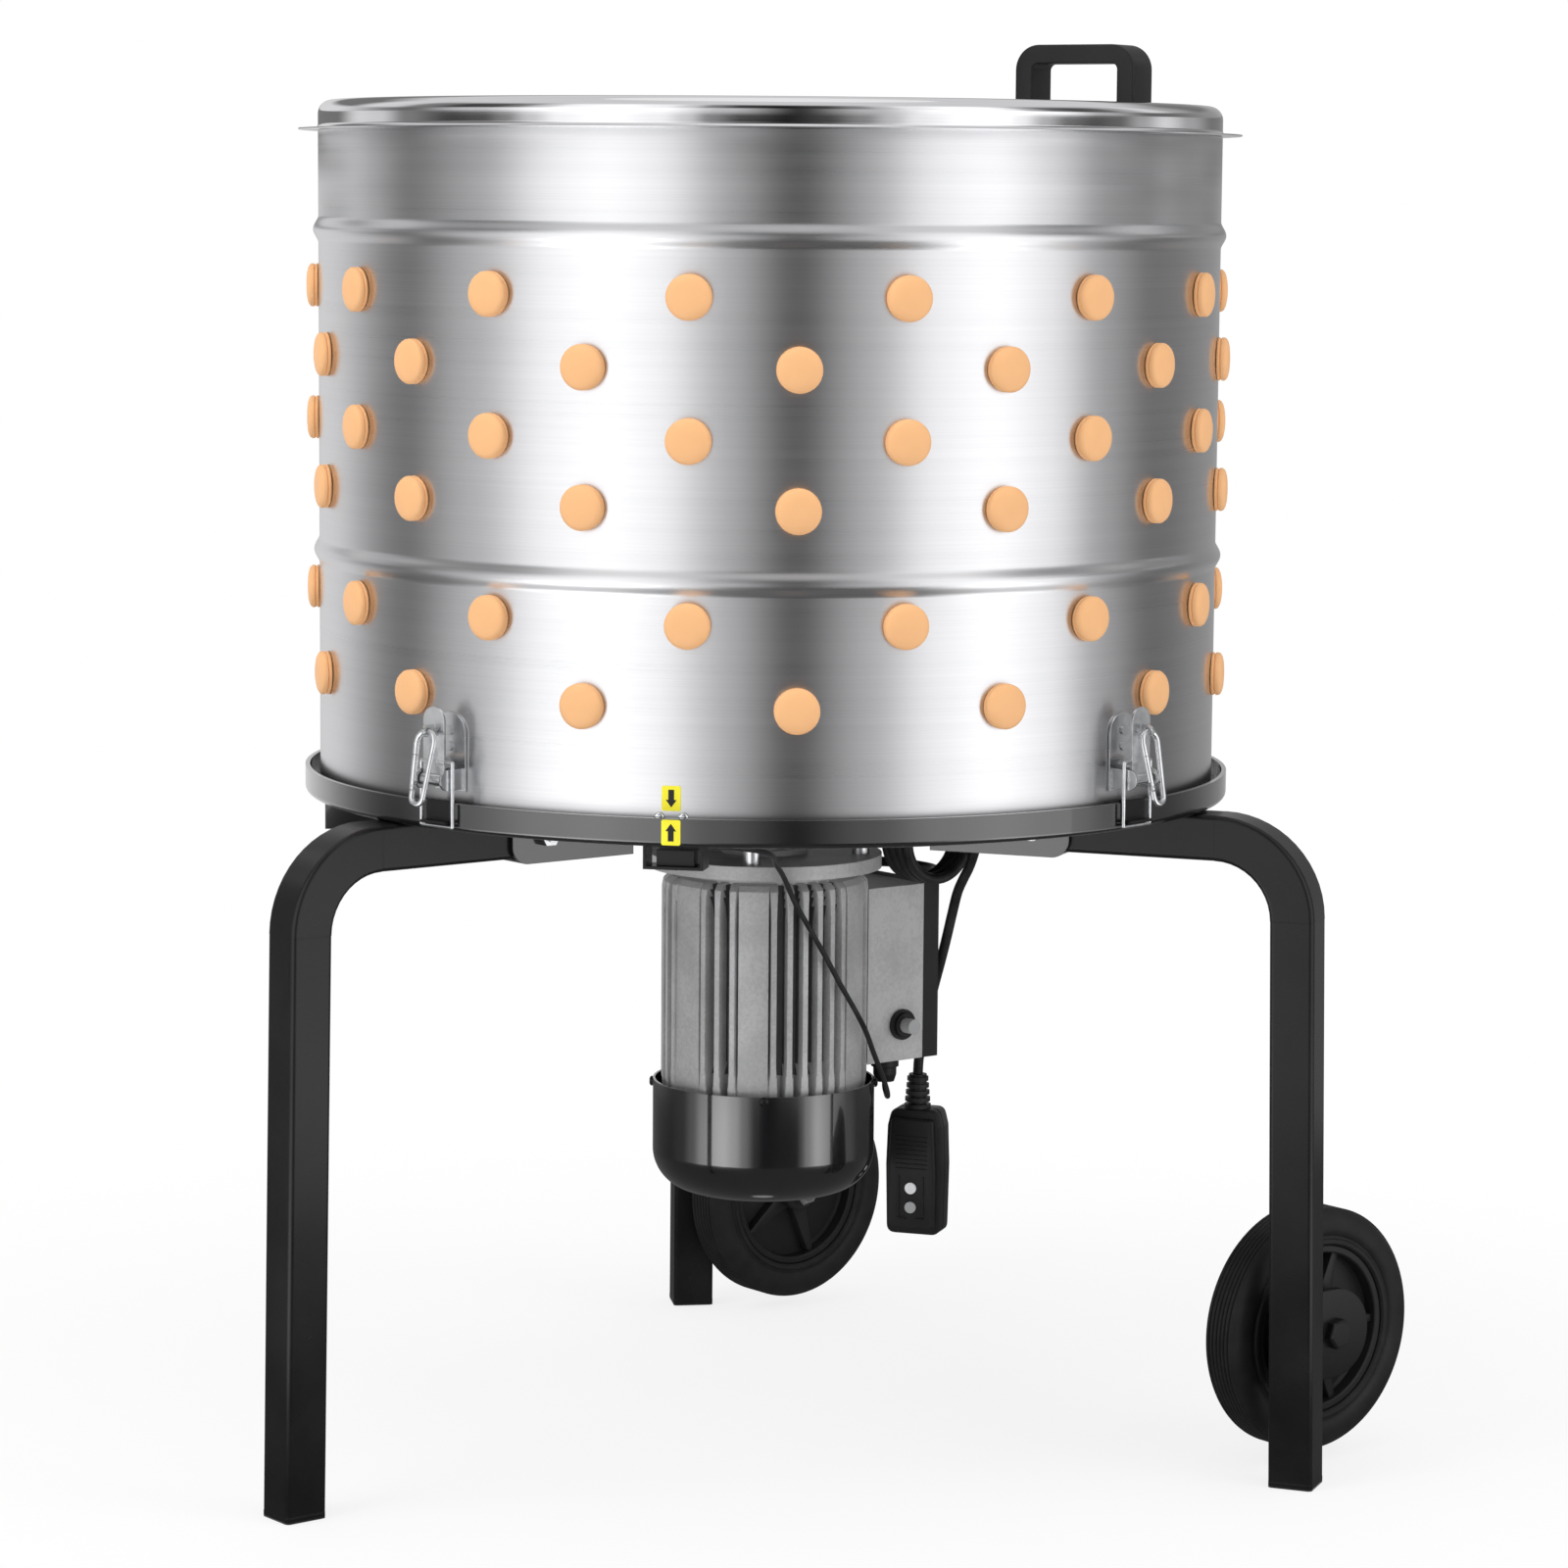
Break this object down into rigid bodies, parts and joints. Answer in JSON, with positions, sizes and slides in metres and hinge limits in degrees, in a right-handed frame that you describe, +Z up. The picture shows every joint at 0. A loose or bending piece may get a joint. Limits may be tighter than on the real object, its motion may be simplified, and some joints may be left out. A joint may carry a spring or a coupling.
{
  "type": "poultry plucker",
  "caption": "Drum poultry plucker: finger-lined steel drum over a spinning feather plate, on a black pan with tube legs, wheels, a finned motor below, latches and a lid",
  "frame": {"origin": "on the floor, at the middle of the box round the feet, wheels and drum", "axes": "+Z up; the lone leg stands toward -Y and the wheels toward +Y"},
  "size_m": [0.6962, 0.7223, 0.9382],
  "materials": {
    "stainless": "brushed round the drum",
    "polished_steel": "polished",
    "zinc": "bright zinc plate",
    "black_paint": "satin black powder coat",
    "gloss_black": "gloss black enamel",
    "cast_aluminium": "raw sand-cast",
    "shaft_steel": "turned",
    "winding": "varnished winding",
    "finger_rubber": "smooth soft rubber",
    "black_plastic": "fine texture",
    "tyre_rubber": "moulded tread",
    "cord_rubber": "matte",
    "yellow_mark": "printed sheet",
    "grey_button": "translucent",
    "white_button": "gloss",
    "prong_brass": "bright"
  },
  "bodies": {
    "base": {"base_pan": "black_paint", "legs": "black_paint", "leg_bolts": "zinc", "axle_bolts": "zinc", "motor_studs": "zinc", "motor_flange": "cast_aluminium", "motor_body": "cast_aluminium", "stator": "winding", "fan_cover": "gloss_black", "small_screws": "zinc", "terminal_box": "cast_aluminium", "terminal_cover": "black_plastic", "reset_bezel": "black_plastic", "cable_glands": "black_plastic", "switch_bracket": "black_paint", "limit_switch": "black_plastic", "shaft_bearings": "shaft_steel", "drum_shell": "stainless", "drum_fingers": "finger_rubber", "latch_bases": "zinc", "latch_catches": "black_paint", "alignment_marks": "yellow_mark", "cord_run": "cord_rubber", "cord_coil": "cord_rubber", "cord_tie": "black_plastic", "plug_case": "black_plastic", "plug_prongs": "prong_brass", "strain_relief": "cord_rubber", "switch_lead": "cord_rubber"},
    "lid": {"lid_pan": "polished_steel", "lid_handle": "black_plastic"},
    "spinner": {"output_shaft": "shaft_steel", "rotor": "shaft_steel", "cooling_fan": "black_plastic", "plate_hub": "shaft_steel", "feather_plate": "stainless", "plate_fingers": "finger_rubber"},
    "wheel_right": {"tyre_right": "tyre_rubber", "hub_right": "black_plastic"},
    "wheel_left": {"tyre_left": "tyre_rubber", "hub_left": "black_plastic"},
    "reset_key": {"reset_button": "grey_button"},
    "plug_test_key": {"plug_test_button": "white_button"},
    "plug_reset_key": {"plug_reset_button": "grey_button"},
    "lever_1": {"latch_lever_1": "zinc"},
    "bail_1": {"latch_bail_1": "zinc"},
    "clip_1": {"safety_clip_1": "zinc"},
    "gate_1": {"clip_gate_1": "zinc"},
    "lever_2": {"latch_lever_2": "zinc"},
    "bail_2": {"latch_bail_2": "zinc"},
    "clip_2": {"safety_clip_2": "zinc"},
    "gate_2": {"clip_gate_2": "zinc"},
    "lever_3": {"latch_lever_3": "zinc"},
    "bail_3": {"latch_bail_3": "zinc"},
    "clip_3": {"safety_clip_3": "zinc"},
    "gate_3": {"clip_gate_3": "zinc"},
    "lever_4": {"latch_lever_4": "zinc"},
    "bail_4": {"latch_bail_4": "zinc"},
    "clip_4": {"safety_clip_4": "zinc"},
    "gate_4": {"clip_gate_4": "zinc"}
  },
  "joints": [
    {"name": "lid_lift", "type": "slide", "parent": "base", "child": "lid", "axis": [0, 0, 1], "range_m": [0, 0.15]},
    {"name": "plate_spin", "type": "hinge", "parent": "base", "child": "spinner", "pos_m": [0, 0.03404, 0.46], "axis": [0, 0, 1], "continuous": true},
    {"name": "wheel_right_spin", "type": "hinge", "parent": "base", "child": "wheel_right", "pos_m": [0.28086, 0.27853, 0.09], "axis": [1, 0, 0], "continuous": true},
    {"name": "wheel_left_spin", "type": "hinge", "parent": "base", "child": "wheel_left", "pos_m": [-0.28086, 0.27853, 0.09], "axis": [1, 0, 0], "continuous": true},
    {"name": "reset_press", "type": "slide", "parent": "base", "child": "reset_key", "axis": [-1, 0, 0], "range_m": [0, 0.0025], "stiffness_N_per_m": 300},
    {"name": "plug_test_press", "type": "slide", "parent": "base", "child": "plug_test_key", "axis": [-0.5446, 0.8387, 0], "range_m": [0, 0.0011], "stiffness_N_per_m": 300},
    {"name": "plug_reset_press", "type": "slide", "parent": "base", "child": "plug_reset_key", "axis": [-0.5446, 0.8387, 0], "range_m": [0, 0.0011], "stiffness_N_per_m": 300},
    {"name": "latch_1_open", "type": "hinge", "parent": "base", "child": "lever_1", "pos_m": [0.0574, -0.27569, 0.476], "axis": [0.9833, 0.1822, 0], "range_deg": [0, 120]},
    {"name": "latch_1_bail", "type": "hinge", "parent": "lever_1", "child": "bail_1", "pos_m": [0.05704, -0.27372, 0.487], "axis": [0.9833, 0.1822, 0], "range_deg": [-120, 0]},
    {"name": "latch_1_clip", "type": "hinge", "parent": "lever_1", "child": "clip_1", "pos_m": [0.05859, -0.28208, 0.507], "axis": [0.9833, 0.1822, 0], "range_deg": [-120, 0]},
    {"name": "latch_1_gate", "type": "hinge", "parent": "clip_1", "child": "gate_1", "pos_m": [0.05456, -0.29031, 0.47239], "axis": [-0.1783, 0.9618, -0.2079], "range_deg": [0, 25], "stiffness_Nm_per_rad": 0.02},
    {"name": "latch_2_open", "type": "hinge", "parent": "base", "child": "lever_2", "pos_m": [0.30972, 0.09144, 0.476], "axis": [-0.1822, 0.9833, 0], "range_deg": [0, 120]},
    {"name": "latch_2_bail", "type": "hinge", "parent": "lever_2", "child": "bail_2", "pos_m": [0.30776, 0.09108, 0.487], "axis": [-0.1822, 0.9833, 0], "range_deg": [-120, 0]},
    {"name": "latch_2_clip", "type": "hinge", "parent": "lever_2", "child": "clip_2", "pos_m": [0.31612, 0.09262, 0.507], "axis": [-0.1822, 0.9833, 0], "range_deg": [-120, 0]},
    {"name": "latch_2_gate", "type": "hinge", "parent": "clip_2", "child": "gate_2", "pos_m": [0.32435, 0.08859, 0.47239], "axis": [-0.9618, -0.1783, -0.2079], "range_deg": [0, 25], "stiffness_Nm_per_rad": 0.02},
    {"name": "latch_3_open", "type": "hinge", "parent": "base", "child": "lever_3", "pos_m": [-0.0574, 0.34376, 0.476], "axis": [-0.9833, -0.1822, 0], "range_deg": [0, 120]},
    {"name": "latch_3_bail", "type": "hinge", "parent": "lever_3", "child": "bail_3", "pos_m": [-0.05704, 0.34179, 0.487], "axis": [-0.9833, -0.1822, 0], "range_deg": [-120, 0]},
    {"name": "latch_3_clip", "type": "hinge", "parent": "lever_3", "child": "clip_3", "pos_m": [-0.05859, 0.35015, 0.507], "axis": [-0.9833, -0.1822, 0], "range_deg": [-120, 0]},
    {"name": "latch_3_gate", "type": "hinge", "parent": "clip_3", "child": "gate_3", "pos_m": [-0.05456, 0.35838, 0.47239], "axis": [0.1783, -0.9618, -0.2079], "range_deg": [0, 25], "stiffness_Nm_per_rad": 0.02},
    {"name": "latch_4_open", "type": "hinge", "parent": "base", "child": "lever_4", "pos_m": [-0.30972, -0.02337, 0.476], "axis": [0.1822, -0.9833, 0], "range_deg": [0, 120]},
    {"name": "latch_4_bail", "type": "hinge", "parent": "lever_4", "child": "bail_4", "pos_m": [-0.30776, -0.023, 0.487], "axis": [0.1822, -0.9833, 0], "range_deg": [-120, 0]},
    {"name": "latch_4_clip", "type": "hinge", "parent": "lever_4", "child": "clip_4", "pos_m": [-0.31612, -0.02455, 0.507], "axis": [0.1822, -0.9833, 0], "range_deg": [-120, 0]},
    {"name": "latch_4_gate", "type": "hinge", "parent": "clip_4", "child": "gate_4", "pos_m": [-0.32435, -0.02052, 0.47239], "axis": [0.9618, 0.1783, -0.2079], "range_deg": [0, 25], "stiffness_Nm_per_rad": 0.02}
  ],
  "couplings": [
    {"joint": "latch_1_bail", "follows": "latch_1_open", "ratio": -1},
    {"joint": "latch_1_clip", "follows": "latch_1_open", "ratio": -1},
    {"joint": "latch_2_bail", "follows": "latch_2_open", "ratio": -1},
    {"joint": "latch_2_clip", "follows": "latch_2_open", "ratio": -1},
    {"joint": "latch_3_bail", "follows": "latch_3_open", "ratio": -1},
    {"joint": "latch_3_clip", "follows": "latch_3_open", "ratio": -1},
    {"joint": "latch_4_bail", "follows": "latch_4_open", "ratio": -1},
    {"joint": "latch_4_clip", "follows": "latch_4_open", "ratio": -1}
  ]
}
